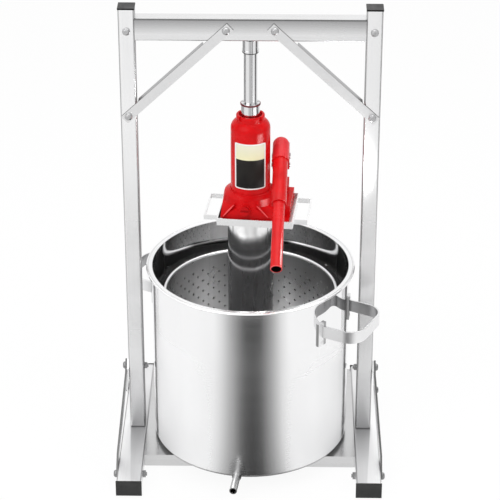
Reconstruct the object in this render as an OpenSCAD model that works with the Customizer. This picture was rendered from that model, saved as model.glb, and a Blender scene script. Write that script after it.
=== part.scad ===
// Hydraulic fruit press: a tube frame in which a bottle jack pushes a plate
// down into a perforated basket that stands in a stock pot.
// Millimetres, +Z up, floor at z = 0, press axis at x = y = 0, front at -Y.

/* [Frame] */
// overall height to the top of the post caps
frame_height = 776; // [700:1:850]
// distance between the post centre lines
post_span = 377.6; // [330:0.2:440]
// side of the square post tube
post_size = 25; // [22:0.5:28]
// wall of the posts, feet and beam
tube_wall = 2; // [1.5:0.1:2.5]
// height of the cross beam
beam_height = 36; // [30:1:40]
// width of the foot tube
foot_width = 40; // [36:1:44]
// height of the foot tube
foot_height = 26; // [24:1:30]
// length of the foot tube without its caps
foot_length = 366; // [346:2:400]
// how far below the beam a knee brace meets its post
knee_drop = 125; // [105:1:155]
// height of the bolt that holds the foot braces to a post
brace_height = 140; // [120:1:170]

/* [Pot and basket] */
// side clearance between the pot and a foot
pot_clearance = 13.6; // [8:0.2:30]
// open height between the pot's rim and the beam
head_room = 389; // [340:1:450]
// gap between the outsides of the pot and the basket
basket_gap = 21; // [16:0.5:40]
// how far the basket's bead lies below the pot's rim
basket_drop = 46; // [30:1:90]
// direction of the juice spout, degrees to the left of the front
spout_yaw = 7; // [0:1:20]
// direction of the right pot handle, degrees forward of the side
handle_yaw = 27; // [15:1:32]

/* [Press] */
// outside diameter of the press column
column_diameter = 73; // [58:1:90]
// height of the press plate over the basket floor
plate_lift = 97.5; // [60:0.5:130]
// length of the extension rod that shows under the beam
rod_reach = 105; // [84:0.2:130]
// how far the tray and the jack base are turned to the right
jack_yaw = 6; // [0:1:10]

/* [Jack] */
// outside diameter of the jack tank
tank_diameter = 62.4; // [54:0.2:76]
// height of the jack to the top of its tank
tank_height = 160; // [140:1:190]
// height of the jack base
base_height = 40; // [34:1:48]
// how far the ram stands out of its gland nut
ram_out = 19.6; // [15:0.2:30]
// outside diameter of the ram
ram_diameter = 29.6; // [25:0.2:34.6]
// diameter of the extension rod
rod_diameter = 21.2; // [17:0.2:24.2]
// length of the pump lever from the socket's round end
lever_length = 238; // [200:1:260]
// how far the lever hangs below the horizontal at rest
lever_drop = 27; // [25:1:30]

/* [Hidden] */
$fn = 96;

cap_lip = 1;
cap_thick = 2;
bolt_d = 6;
hole_d = 6.6;
sheet = 2;
bar_t = 3;
bar_w = 18;
tube_corner = tube_wall + 0.6;
plug = 12;
plug_slip = 0.2;
foot_top = cap_lip + foot_height;
post_x = post_span / 2;
post_in = post_x - post_size / 2;
post_out = post_x + post_size / 2;
foot_offset = 4.8;
foot_x = post_x + foot_offset;
foot_in = foot_x - foot_width / 2;
foot_out = foot_x + foot_width / 2;
post_cap = 3;
post_cap_lip = 0.7;
post_top = frame_height - post_cap;
post_over_beam = 14;
beam_top = post_top - post_over_beam;
beam_bottom = beam_top - beam_height;
beam_mid = beam_bottom + beam_height / 2;
beam_bolt_low = 2.6;
beam_bolt_z = beam_mid - beam_bolt_low;
front = -post_size / 2;
strap_reach = 38;
strap_inset = 2;
knee_x = 37.2;
knee_rise = 18;
knee_end = 9;
knee_flange = 15;
knee_top = beam_bottom + knee_rise;
knee_height = beam_bottom - knee_drop;
knee_dx = post_x - knee_x;
knee_dz = knee_top - knee_height;
knee_len = sqrt(knee_dx * knee_dx + knee_dz * knee_dz);
knee_ang = atan2(knee_dz, knee_dx);
knee_w = 15;
brace_inset = 50;
brace_y = foot_length / 2 - brace_inset;
foot_mid = 8;
foot_front = foot_mid - foot_length / 2;
brace_z = cap_lip + foot_height / 2 - 0.5;
brace_dz = brace_height - brace_z;
brace_len = sqrt(brace_y * brace_y + brace_dz * brace_dz);
brace_ang = atan2(brace_y, brace_dz);
brace_end = 8;
brace_bend = 16;
brace_flat = (foot_top - brace_z + bar_w / 2 * sin(brace_ang)) / cos(brace_ang) + 3;
base_drop = 5;
base_top = foot_top - base_drop;
base_setback = 85;
base_end = 3;
base_front = foot_front + base_setback;
base_rear = foot_front + foot_length - base_end;

pot_radius = foot_in - pot_clearance;
pot_wall = 1.5;
pot_base = 3;
pot_bottom = base_top;
pot_floor = pot_bottom + pot_base;
pot_corner = 12;
rim_z = beam_bottom - head_room;
rim_t = 3.6;
rim_w = 8.2;
spout_lift = 5.5;
spout_z = pot_bottom + spout_lift;
spout_in = 8;
spout_r = 6;
spout_bore = 4.5;
spout_len = 50;
spout_collar = 7.5;
handle_h = 20;
handle_drop = 51;
handle_top = rim_z - handle_drop;
handle_hw = 50;
handle_out = 58;
handle_reach = pot_radius + handle_out;
handle_r = 28;
handle_tab = 16;
tab_under = 14;
tab_over = 6;
strip = 3;
basket_radius = pot_radius - basket_gap;
basket_wall = 1.2;
basket_base = 1.5;
basket_foot = 6;
basket_foot_r = 8;
basket_foot_in = 39;
basket_z = pot_floor + basket_foot;
basket_floor = basket_z + basket_base;
basket_rim = rim_z - basket_drop;
bead_r = 2.6;

plate_z = basket_floor + plate_lift;
plate_t = 6;
plate_slip = 1;
plate_r = basket_radius - basket_wall - plate_slip;
column_z = plate_z + plate_t;
column_wall = 2;
tray_t = 2;
tray_lip = 12;
tray_front = 7;
tray_side = 5;
tray_back = 7;
grip_out = 22;
grip_w = 78;
grip_h = 8;
grip_mid = 6;

slip = 0.08;
shoulder = 15;
gland_h = 8;
gland_in = 4;
wiper_h = 2;
wiper_drop = 1;
wiper_in = 1;
wiper_out = 1;
rod_tail = 57.6;
rod_end = 0.4;
rod_top = beam_bottom - rod_end;
jz = rod_top - rod_reach - ram_out - gland_h - tank_height;
tray_z = jz - tray_t;
column_length = tray_z - column_z;
tank_r = tank_diameter / 2;
ram_r = ram_diameter / 2;
rod_r = rod_diameter / 2;
tank_wall = 3;
tank_z = jz + base_height;
tank_top = jz + tank_height;
tank_side = tank_top - shoulder;
cyl_r = ram_r + 4.3;
cyl_z = tank_z - 15;
gland_r = ram_r + 7.7;
gland_top = tank_top + gland_h;
gland_round = 2;
gland_dish = 6;
gland_lip = 4;
gland_slots = 4;
gland_slot_w = 6;
gland_slot_in = 2.5;
gland_slot_h = 6;
ram_floor = 4;
ram_z = cyl_z + 20;
ram_top = gland_top + ram_out;
wiper_z = ram_top - wiper_drop - wiper_h;
rod_z = ram_top - rod_tail;
plug_r = 4;
plug_drop = 20;
label_w = 48;
label_low = 11;
label_high = 16;
label_t = 0.4;

lever_x = tank_r + 16.8;
lever_y = 20;
lever_yaw = 1.6;
pivot_lift = 40;
pivot_drop = 25;
pivot_y = 13.5;
pivot_z = tank_z + pivot_lift;
lever_z = pivot_z + pivot_drop;
pivot_r = 4;
crank = 18;
crank_drop = 27;
crank_r = 3;
plunger_pin_y = pivot_y - crank * cos(crank_drop);
plunger_pin_z = pivot_z - crank * sin(crank_drop);
pump_back = 17;
pump_y = pivot_y - pump_back;
pump_r = 10;
pump_h = 22;
pump_depth = 20;
plunger_r = 5;
eye_w = 14;
eye_d = 16;
eye_slip = 0.35;
eye_slot = 4;
ear_t = 3;
ear_r = 8;
pin_over = 1.7;
socket_r = 13.3;
socket_len = 32;
upper_r = 11.75;
upper_start = 6;
upper_gap = 1;
upper_len = 109;
lower_r = 9.25;
lower_bore = 7.5;
lower_start = 60;
tube_slip = 0.05;

base_left = tank_r + 10.8;
base_right = lever_x + 18;
base_near = tank_r + 16.8;
base_far = tank_r + 12.8;
base_slope = 9;
base_step = 8;
base_flare = tank_r + 32.8;
collar_r = tank_r + 9.8;
collar_drop = 4;
flare_drop = 15;
flare_out = 3;
fillet_out = 1.5;
pump_step = 14;
pump_in = 11;
pump_near = 18;
pump_far = 6;
valve_x = 3;
valve_up = 14;
valve_r = 5;
valve_head = 7;
valve_boss = 9;
rib_t = 3;
rib_w = 5;
rib_len = 27;
rib_up = 22.5;
rib_left = 20.6;
rib_right = 15;
rib_lean = [41, 46];

// rectangle with round corners, on the origin
module rounded_2d(w, d, r) {
    square([w - 2 * r, d], center = true);
    square([w, d - 2 * r], center = true);
    for (x = [-1, 1]) for (y = [-1, 1])
        translate([x * (w / 2 - r), y * (d / 2 - r)]) circle(r = r);
}

module tube_z(w, d, h) {
    linear_extrude(h) difference() {
        rounded_2d(w, d, tube_corner);
        rounded_2d(w - 2 * tube_wall, d - 2 * tube_wall, tube_corner - tube_wall);
    }
}

module ring_z(ro, ri, h) {
    difference() {
        cylinder(r = ro, h = h);
        translate([0, 0, -1]) cylinder(r = ri, h = h + 2);
    }
}

// head towards +Z from z = 0, shank towards -Z
module bolt(len) {
    rotate_extrude() polygon([[0, -len], [bolt_d / 2, -len], [bolt_d / 2, 0],
        [bolt_d, 0], [bolt_d, 0.3 * bolt_d], [0.8 * bolt_d, 0.6 * bolt_d],
        [0.5 * bolt_d, 0.72 * bolt_d], [0, 0.72 * bolt_d]]);
}

// hexagon nut from z = -nut_h to z = 0
nut_h = 5;
nut_r = 5.77;
bolt_over = 7;
module nut() {
    translate([0, 0, -nut_h]) linear_extrude(nut_h) difference() {
        polygon([for (i = [0:5]) nut_r * [cos(60 * i), sin(60 * i)]]);
        circle(d = bolt_d + 0.2);
    }
}

module along_y(x, y, z) { translate([x, y, z]) rotate([90, 0, 0]) children(); }
module along_x(s, x, y, z) { translate([s * x, y, z]) rotate([0, s * 90, 0]) children(); }

module foot(s) {
    difference() {
        translate([s * foot_x, foot_front, cap_lip + foot_height / 2]) rotate([-90, 0, 0])
            tube_z(foot_width, foot_height, foot_length);
        for (e = [-1, 1]) translate([s * foot_x - foot_width, e * brace_y, brace_z])
            rotate([0, 90, 0]) cylinder(d = hole_d, h = 2 * foot_width);
    }
}

module left_foot() { color("gainsboro") foot(-1); }
module right_foot() { color("gainsboro") foot(1); }

module foot_caps() {
    color("dimgray") for (s = [-1, 1]) for (e = [0, 180])
        translate([s * foot_x, foot_mid, cap_lip]) rotate([0, 0, e]) {
            translate([-foot_width / 2 - cap_lip, -foot_length / 2 - cap_thick, -cap_lip])
                cube([foot_width + 2 * cap_lip, cap_thick, foot_height + 2 * cap_lip]);
            translate([-foot_width / 2 + tube_wall + plug_slip, -foot_length / 2, tube_wall + plug_slip])
                cube([foot_width - 2 * (tube_wall + plug_slip), plug, foot_height - 2 * (tube_wall + plug_slip)]);
        }
}

module post(s) {
    translate([s * post_x, 0, 0]) difference() {
        translate([0, 0, foot_top]) tube_z(post_size, post_size, post_top - foot_top);
        for (z = [knee_height, beam_bolt_z])
            along_y(0, post_size, z) cylinder(d = hole_d, h = 2 * post_size);
        translate([-post_size, 0, brace_height]) rotate([0, 90, 0])
            cylinder(d = hole_d, h = 2 * post_size);
    }
}

module left_post() { color("gainsboro") post(-1); }
module right_post() { color("gainsboro") post(1); }

module post_caps() {
    color("dimgray") for (s = [-1, 1]) translate([s * post_x, 0, post_top]) {
        linear_extrude(post_cap)
            rounded_2d(post_size + 2 * post_cap_lip, post_size + 2 * post_cap_lip, tube_corner);
        translate([0, 0, -plug]) linear_extrude(plug)
            square(post_size - 2 * (tube_wall + plug_slip), center = true);
    }
}

module top_beam() {
    color("gainsboro") difference() {
        translate([-post_in, 0, beam_mid]) rotate([0, 90, 0])
            tube_z(beam_height, post_size, 2 * post_in);
        for (s = [-1, 1]) along_y(s * knee_x, post_size, knee_top)
            cylinder(d = hole_d, h = 2 * post_size);
    }
}

module beam_straps() {
    color("silver") for (s = [-1, 1]) difference() {
        translate([s * (post_x - strap_reach / 2) - (post_size + strap_reach) / 2, -front, beam_bottom + strap_inset])
            cube([post_size + strap_reach, bar_t, beam_height - 2 * strap_inset]);
        along_y(s * post_x, post_size, beam_bolt_z) cylinder(d = hole_d, h = 2 * post_size);
    }
}

// angle bar from the left post up to the beam, flat on their front faces
module knee_brace() {
    translate([-post_x, front, knee_height]) rotate([0, -knee_ang, 0]) difference() {
        union() {
            translate([-knee_end, -sheet, -knee_w / 2]) cube([knee_len + 2 * knee_end, sheet, knee_w]);
            translate([post_size + 3, -sheet, knee_w / 2 - sheet])
                cube([knee_len - post_size - beam_height - 10, knee_flange, sheet]);
        }
        for (u = [0, knee_len]) along_y(u, 2 * sheet, 0) cylinder(d = hole_d, h = 5 * sheet);
    }
}

module left_knee_brace() { color("lightgray") knee_brace(); }
module right_knee_brace() { color("lightgray") mirror([1, 0, 0]) knee_brace(); }

module knee_brace_bolts() {
    color("silver") for (s = [-1, 1]) {
        along_y(s * post_x, front - sheet, knee_height) bolt(post_size + sheet + bolt_over);
        along_y(s * knee_x, front - sheet, knee_top) bolt(post_size + sheet + bolt_over);
    }
}

module knee_brace_nuts() {
    color("silver") for (s = [-1, 1]) {
        along_y(s * post_x, -front, knee_height) nut();
        along_y(s * knee_x, -front, knee_top) nut();
    }
}

module beam_bolts() {
    color("silver") for (s = [-1, 1]) along_y(s * post_x, front, beam_bolt_z) bolt(post_size + bar_t + bolt_over);
}

module beam_nuts() {
    color("silver") for (s = [-1, 1]) along_y(s * post_x, -front + bar_t, beam_bolt_z) nut();
}

// joggled flat bar leaning towards -Y (e = -1) or +Y (e = 1), outside x = 0
module brace_bar(e, x0, x1) {
    rotate([e * brace_ang, 0, 0]) difference() {
        translate([0, bar_w / 2, 0]) rotate([90, 0, 0]) linear_extrude(bar_w)
            polygon([[x0, knee_end], [x0, -brace_bend], [x1, -brace_len + brace_flat],
                [x1, -brace_len - brace_end], [x1 + bar_t, -brace_len - brace_end],
                [x1 + bar_t, -brace_len + brace_flat], [x0 + bar_t, -brace_bend], [x0 + bar_t, knee_end]]);
        for (z = [0, -brace_len]) translate([-post_size, 0, z]) rotate([0, 90, 0])
            cylinder(d = hole_d, h = 4 * post_size);
    }
}

module front_brace() { translate([post_out, 0, brace_height]) brace_bar(-1, bar_t, foot_out - post_out); }
module rear_brace() { translate([post_out, 0, brace_height]) brace_bar(1, 0, foot_out - post_out); }
module left_front_brace() { color("silver") mirror([1, 0, 0]) front_brace(); }
module right_front_brace() { color("silver") front_brace(); }
module left_rear_brace() { color("silver") mirror([1, 0, 0]) rear_brace(); }
module right_rear_brace() { color("silver") rear_brace(); }

module foot_brace_bolts() {
    color("silver") for (s = [-1, 1]) {
        along_x(s, post_out + 2 * bar_t, 0, brace_height) bolt(post_size + 2 * bar_t + bolt_over);
        for (e = [-1, 1]) along_x(s, foot_out + bar_t, e * brace_y, brace_z)
            bolt(foot_width + bar_t + bolt_over);
    }
}

module foot_brace_nuts() {
    color("silver") for (s = [-1, 1]) {
        along_x(s, post_in, 0, brace_height) nut();
        for (e = [-1, 1]) along_x(s, foot_in, e * brace_y, brace_z) rotate([0, 0, 30]) nut();
    }
}

module base_plate() {
    color("lightgray") {
        translate([-foot_in, base_front, base_top - sheet])
            cube([2 * foot_in, base_rear - base_front, sheet]);
        for (y = [base_front, base_rear - sheet])
            translate([-foot_in, y, cap_lip]) cube([2 * foot_in, sheet, base_top - sheet - cap_lip]);
    }
}

socket_len_under = 20;
socket_lip = 3;
socket_wall = 1.6;
socket_flare = 0.6;
socket_slip = 0.3;
module jack_socket() {
    ri = rod_r + socket_slip;
    color("silver") rotate_extrude()
        polygon([[ri, beam_bottom - socket_len_under], [ri + socket_wall + socket_flare, beam_bottom - socket_len_under],
            [ri + socket_wall + socket_flare, beam_bottom - socket_len_under + socket_lip],
            [ri + socket_wall, beam_bottom - socket_len_under + socket_lip],
            [ri + socket_wall, beam_bottom], [ri, beam_bottom]]);
}

// half profile of a round vessel with a rounded bottom corner
module vessel_2d(r, z0, z1, c) {
    square_from(0, z0, r - c, c);
    square_from(0, z0 + c, r, z1 - z0 - c);
    translate([r - c, z0 + c]) circle(r = c);
}
module square_from(x, y, w, h) { translate([x, y]) square([w, h]); }

module pot() {
    color("silver") difference() {
        rotate_extrude() {
            difference() {
                vessel_2d(pot_radius, pot_bottom, rim_z, pot_corner);
                vessel_2d(pot_radius - pot_wall, pot_floor, rim_z + rim_t, pot_corner - pot_wall);
            }
            square_from(pot_radius - pot_wall, rim_z - rim_t, rim_w, rim_t);
            translate([pot_radius - pot_wall + rim_w, rim_z - rim_t / 2]) circle(r = rim_t / 2);
        }
        spout_axis() cylinder(r = spout_collar, h = spout_len);
    }
}

module spout_axis() {
    rotate([0, 0, -spout_yaw]) translate([0, -pot_radius + spout_in, spout_z]) rotate([90, 0, 0]) children();
}

module pot_spout() {
    color("silver") spout_axis() difference() {
        union() {
            cylinder(r = spout_collar, h = spout_in + 2);
            cylinder(r = spout_r, h = spout_len);
        }
        translate([0, 0, -1]) cylinder(r = spout_bore, h = spout_len + 2);
    }
}

module loop_2d(hw, reach, r) {
    x0 = pot_radius - handle_r;
    square_from(x0, -hw, reach - r - x0, 2 * hw);
    square_from(x0, -hw + r, reach - x0, 2 * (hw - r));
    for (s = [-1, 1]) translate([reach - r, s * (hw - r)]) circle(r = r);
}

module pot_handle() {
    translate([0, 0, handle_top - handle_h]) linear_extrude(handle_h) difference() {
        loop_2d(handle_hw, handle_reach, handle_r);
        loop_2d(handle_hw - strip, handle_reach - strip, handle_r - strip);
        circle(r = pot_radius);
    }
    translate([0, 0, handle_top - handle_h - tab_under]) linear_extrude(handle_h + tab_under + tab_over) intersection() {
        difference() {
            circle(r = pot_radius + strip);
            circle(r = pot_radius);
        }
        union() for (s = [-1, 1])
            square_from(0, s * handle_hw - handle_tab / 2, 2 * pot_radius, handle_tab);
    }
}

module right_pot_handle() { color("silver") rotate([0, 0, -handle_yaw]) pot_handle(); }
module left_pot_handle() { color("silver") rotate([0, 0, 180 - handle_yaw]) pot_handle(); }

module basket() {
    color("darkgray") {
        rotate_extrude() {
            square_from(0, basket_z, basket_radius, basket_floor - basket_z);
            square_from(basket_radius - basket_wall, basket_z, basket_wall, basket_rim - basket_z - bead_r);
            translate([basket_radius, basket_rim - bead_r]) circle(r = bead_r);
        }
        for (a = [45:90:315]) rotate([0, 0, a]) translate([basket_radius - basket_foot_in, 0, pot_floor])
            cylinder(r = basket_foot_r, h = basket_foot);
    }
}

module press_plate() {
    color("silver") rotate_extrude()
        polygon([[0, plate_z], [plate_r - sheet / 2, plate_z], [plate_r, plate_z + sheet / 2],
            [plate_r, plate_z + plate_t - sheet / 2], [plate_r - sheet / 2, plate_z + plate_t], [0, plate_z + plate_t]]);
}

module press_column() {
    color("silver") translate([0, 0, column_z]) ring_z(column_diameter / 2, column_diameter / 2 - column_wall, column_length);
}

module jack_frame() { rotate([0, 0, -jack_yaw]) children(); }

tray_left = base_left + tray_side;
tray_right = base_right + tray_back;
tray_near = base_near + tray_front;
tray_far = base_far + tray_back;
tray_w = tray_left + tray_right;
tray_d = tray_near + tray_far;

module jack_tray() {
    color("whitesmoke") jack_frame() difference() {
        translate([-tray_left, -tray_near, tray_z]) cube([tray_w, tray_d, tray_lip]);
        translate([-tray_left + tray_t, -tray_near + tray_t, tray_z + tray_t])
            cube([tray_w - 2 * tray_t, tray_d - 2 * tray_t, tray_lip]);
    }
}

module tray_handles() {
    color("whitesmoke") jack_frame() for (s = [0, 1])
        translate([s == 0 ? -tray_left : tray_right, -grip_mid, tray_z + tray_lip - grip_h])
            mirror([1 - s, 0, 0]) linear_extrude(grip_h) difference() {
                square_from(0, -grip_w / 2, grip_out, grip_w);
                square_from(-1, -grip_w / 2 + tray_t, grip_out + 1 - tray_t, grip_w - 2 * tray_t);
            }
}

// front face of the base: x across, -Y out, z up the slope
module slope() {
    translate([0, -base_near, jz + base_step])
        rotate([-atan2(base_slope, base_height - base_step), 0, 0]) children();
}
module valve_axis() { slope() translate([-valve_x, 0, valve_up]) rotate([90, 0, 0]) children(); }
module base_rib(x, a) {
    slope() translate([x, 0, rib_up]) rotate([0, a, 0])
        translate([-rib_t / 2, -rib_w / 2, -rib_len]) cube([rib_t, rib_w, rib_len]);
}

// round at the collar, falling to the corners of the foot flange
module base_body() {
    intersection() {
        translate([-base_left, 0, 0]) rotate([90, 0, 90]) linear_extrude(2 * base_left)
            polygon([[-base_near, jz], [base_far, jz], [base_far, tank_z], [base_slope - base_near, tank_z],
                [-base_near, jz + base_step]]);
        rotate_extrude() polygon([[0, jz], [base_flare, jz], [base_flare, jz + base_step],
            [collar_r + flare_out, tank_z - flare_drop], [collar_r, tank_z - collar_drop], [0, tank_z - collar_drop]]);
    }
}

module jack_base() {
    color("red") difference() {
        union() {
            jack_frame() {
                translate([-base_left, -base_near, jz]) cube([base_left + base_right, base_near + base_far, base_step]);
                base_body();
                translate([tank_r - pump_in, pump_near - base_near, jz])
                    cube([base_right - tank_r + pump_in, base_near + base_far - pump_near - pump_far, base_height - pump_step]);
                base_rib(-rib_left, rib_lean[0]);
                base_rib(rib_right, -rib_lean[1]);
                valve_axis() translate([0, 0, -valve_x]) cylinder(r = valve_boss, h = valve_boss);
            }
            rotate_extrude() polygon([[0, jz], [collar_r, jz], [collar_r, tank_z - collar_drop],
                [tank_r + fillet_out, tank_z], [0, tank_z]]);
            lever_frame() translate([-1.3 * pump_r, pump_y - 1.1 * pump_r, jz])
                cube([2.6 * pump_r, pivot_y - pump_y + 1.8 * pump_r, base_height]);
        }
        translate([0, 0, cyl_z]) cylinder(r = cyl_r, h = tank_height);
        lever_frame() translate([0, pump_y, tank_z - pump_depth]) cylinder(r = plunger_r + slip, h = tank_height);
        jack_frame() valve_axis() translate([0, 0, -10]) cylinder(r = valve_r + slip, h = 30);
    }
}

// half profile of the tank's outside or, smaller by in, of its inside
module tank_2d(in) {
    square_from(0, tank_z, tank_r - in, tank_side - tank_z);
    square_from(0, tank_z, tank_r - shoulder, tank_top - in - tank_z);
    translate([tank_r - shoulder, tank_side]) circle(r = shoulder - in);
}

module jack_tank() {
    color("red") difference() {
        rotate_extrude() difference() {
            tank_2d(0);
            tank_2d(tank_wall);
            square_from(0, tank_side, gland_r, 2 * shoulder);
        }
        filler_axis() cylinder(r = plug_r, h = 5 * plug_r);
    }
}

module filler_axis() { translate([0, tank_r - 5, tank_side - plug_drop]) rotate([-90, 0, 0]) children(); }

module tank_label() {
    color("ivory") intersection() {
        translate([0, 0, tank_z + label_low])
            ring_z(tank_r + label_t, tank_r, tank_side - tank_z - label_low - label_high);
        translate([-label_w / 2, -tank_diameter, jz]) cube([label_w, tank_diameter, tank_height]);
    }
}

module pressure_cylinder() {
    color("gray") translate([0, 0, cyl_z]) ring_z(cyl_r, ram_r + slip, tank_top - gland_in - cyl_z);
}

module gland_nut() {
    color("firebrick") difference() {
        rotate_extrude() difference() {
            union() {
                square_from(0, tank_top - gland_in, gland_r, gland_h + gland_in - gland_round);
                square_from(0, tank_top, gland_r - gland_round, gland_h);
                translate([gland_r - gland_round, gland_top - gland_round]) circle(r = gland_round);
            }
            square_from(0, tank_top - 2 * gland_in, ram_r + slip, 2 * gland_h + 2 * gland_in);
            polygon([[0, gland_top - gland_dish], [ram_r + slip + 1, gland_top - gland_dish],
                [gland_r - gland_lip, gland_top], [gland_r - gland_lip, gland_top + gland_h], [0, gland_top + gland_h]]);
        }
        for (i = [0:gland_slots - 1]) rotate([0, 0, 360 / gland_slots * (i + 0.5)])
            translate([gland_r - gland_slot_in, -gland_slot_w / 2, gland_top - gland_slot_h])
                cube([2 * gland_slot_in, gland_slot_w, 2 * gland_slot_h]);
    }
}

module filler_plug() {
    color("black") filler_axis() translate([0, 0, plug_r / 2]) cylinder(r = plug_r, h = 1.5 * plug_r);
}

module lever_frame() { translate([lever_x, lever_y, 0]) rotate([0, 0, -lever_yaw]) children(); }
module lever_axis() { translate([0, 0, lever_z]) rotate([90 + lever_drop, 0, 0]) children(); }
module pin_axis(y, z, w) { translate([-w / 2, y, z]) rotate([0, 90, 0]) children(); }

module pump_cylinder() {
    color("red") lever_frame() translate([0, pump_y, tank_z]) ring_z(pump_r, plunger_r + slip, pump_h);
}

module pump_bracket() {
    color("red") lever_frame() difference() {
        union() {
            translate([-eye_d / 2, pivot_y - 1.5 * pivot_r, tank_z]) cube([eye_d, 3 * pivot_r, pivot_z - tank_z]);
            pin_axis(pivot_y, pivot_z, eye_d) cylinder(r = 1.5 * pivot_r, h = eye_d);
        }
        pin_axis(pivot_y, pivot_z, 2 * eye_d) cylinder(r = pivot_r + slip, h = 2 * eye_d);
    }
}

module ram() {
    color("silver") difference() {
        translate([0, 0, ram_z]) cylinder(r = ram_r, h = ram_top - ram_z);
        translate([0, 0, ram_z + ram_floor]) cylinder(r = rod_r + slip, h = ram_top - ram_z);
        translate([0, 0, wiper_z]) ring_z(2 * ram_r, ram_r - wiper_in, wiper_h);
    }
}

module ram_wiper() {
    color("maroon") translate([0, 0, wiper_z]) ring_z(ram_r + wiper_out, ram_r - wiper_in, wiper_h);
}

module extension_rod() {
    color("silver") rotate_extrude()
        polygon([[0, rod_z], [rod_r, rod_z], [rod_r, rod_top - tray_t], [rod_r - tray_t, rod_top], [0, rod_top]]);
}

// side plate of the lever socket, from the pivot and the plunger pin up to the lever
module ear_2d() {
    translate([pivot_y, pivot_z]) circle(r = ear_r);
    translate([plunger_pin_y, plunger_pin_z]) circle(r = 0.875 * ear_r);
    polygon([[plunger_pin_y - 0.8625 * ear_r, plunger_pin_z - 0.125 * ear_r],
        [plunger_pin_y + 0.25 * ear_r, plunger_pin_z - 0.8375 * ear_r],
        [pivot_y + 0.325 * ear_r, pivot_z - 0.9375 * ear_r], [pivot_y + ear_r, pivot_z],
        [socket_r - ear_t, lever_z], [0.125 * ear_r - socket_r, lever_z - 2 * ear_t]]);
}

module handle_socket() {
    color("red") lever_frame() difference() {
        union() {
            lever_axis() rotate_extrude() difference() {
                union() {
                    circle(r = socket_r);
                    square([socket_r, socket_len]);
                }
                square_from(-2 * socket_len, -socket_len, 2 * socket_len, 3 * socket_len);
            }
            for (x = [-socket_r, socket_r - ear_t]) translate([x, 0, 0])
                rotate([90, 0, 90]) linear_extrude(ear_t) ear_2d();
        }
        lever_axis() translate([0, 0, upper_start - upper_gap]) cylinder(r = upper_r + tube_slip, h = 2 * socket_len);
        pin_axis(pivot_y, pivot_z, 4 * socket_r) cylinder(r = pivot_r, h = 4 * socket_r);
        pin_axis(plunger_pin_y, plunger_pin_z, 4 * socket_r) cylinder(r = crank_r, h = 4 * socket_r);
    }
}

module lever_pins() {
    w = 2 * (socket_r + pin_over);
    color("gray") lever_frame() {
        pin_axis(pivot_y, pivot_z, w) cylinder(r = pivot_r, h = w);
        pin_axis(plunger_pin_y, plunger_pin_z, w) cylinder(r = crank_r, h = w);
    }
}

module lever_upper() {
    color("red") lever_frame() lever_axis() translate([0, 0, upper_start])
        ring_z(upper_r, lower_r + tube_slip, upper_len);
}

module lever_lower() {
    color("red") lever_frame() lever_axis() translate([0, 0, lower_start])
        ring_z(lower_r, lower_bore, lever_length - lower_start);
}

// piston with a cross-slotted eye for the crank pin
module pump_plunger() {
    eye_r = crank_r + eye_slip;
    color("silver") lever_frame() difference() {
        union() {
            translate([0, pump_y, tank_z - pump_depth + 2])
                cylinder(r = plunger_r, h = plunger_pin_z - eye_d / 2 + 1 - tank_z + pump_depth - 2);
            translate([-eye_w / 2, pump_y - eye_d / 2, plunger_pin_z - eye_d / 2]) cube([eye_w, eye_d, eye_d]);
        }
        translate([-eye_w, pump_y - eye_slot / 2, plunger_pin_z - eye_r]) cube([2 * eye_w, eye_slot, 2 * eye_r]);
        for (y = [-1, 1]) pin_axis(pump_y + y * eye_slot / 2, plunger_pin_z, 2 * eye_w) cylinder(r = eye_r, h = 2 * eye_w);
    }
}

module release_valve() {
    color("darkred") jack_frame() valve_axis() difference() {
        union() {
            translate([0, 0, -8]) cylinder(r = valve_r, h = 18);
            translate([0, 0, valve_boss - valve_x + 0.3]) cylinder(r = valve_head, h = 5);
        }
        translate([-10, -1.5, valve_boss - valve_x + 2.3]) cube([20, 3, 10]);
    }
}

left_foot();
right_foot();
foot_caps();
left_post();
right_post();
post_caps();
top_beam();
beam_straps();
left_knee_brace();
right_knee_brace();
knee_brace_bolts();
knee_brace_nuts();
beam_bolts();
beam_nuts();
left_front_brace();
right_front_brace();
left_rear_brace();
right_rear_brace();
foot_brace_bolts();
foot_brace_nuts();
base_plate();
jack_socket();
pot();
pot_spout();
right_pot_handle();
left_pot_handle();
basket();
press_plate();
press_column();
jack_tray();
tray_handles();
jack_base();
jack_tank();
tank_label();
pressure_cylinder();
gland_nut();
filler_plug();
pump_cylinder();
pump_bracket();
ram();
ram_wiper();
extension_rod();
handle_socket();
lever_pins();
lever_upper();
lever_lower();
pump_plunger();
release_valve();
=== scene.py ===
"""Hydraulic fruit press: finishes, the perforated basket and the small fittings, set on the press's own solids."""

import math
from functools import cached_property

import bpy
from mathutils import Matrix, Vector


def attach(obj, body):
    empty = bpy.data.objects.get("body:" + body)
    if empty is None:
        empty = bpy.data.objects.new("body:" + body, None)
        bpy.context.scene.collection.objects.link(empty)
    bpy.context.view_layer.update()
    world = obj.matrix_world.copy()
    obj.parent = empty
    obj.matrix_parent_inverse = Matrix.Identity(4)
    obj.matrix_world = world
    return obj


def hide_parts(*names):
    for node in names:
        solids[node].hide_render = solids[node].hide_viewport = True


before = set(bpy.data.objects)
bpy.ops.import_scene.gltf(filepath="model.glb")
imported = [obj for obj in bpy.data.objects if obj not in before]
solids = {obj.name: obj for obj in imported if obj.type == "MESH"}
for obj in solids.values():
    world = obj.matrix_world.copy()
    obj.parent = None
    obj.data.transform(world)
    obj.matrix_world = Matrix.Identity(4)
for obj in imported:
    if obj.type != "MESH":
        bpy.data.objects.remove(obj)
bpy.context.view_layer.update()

# ---------------------------------------------------------------- sizes of the press: metres and radians
TUBE_CORNER = 0.0026
POST_X, POST_HALF = 0.1888, 0.0125
BEAM_Z, BEAM_HALF = 0.741, 0.018
FOOT_X, FOOT_HALF_W = 0.1936, 0.020
FOOT_Z, FOOT_HALF_H = 0.014, 0.013
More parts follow.
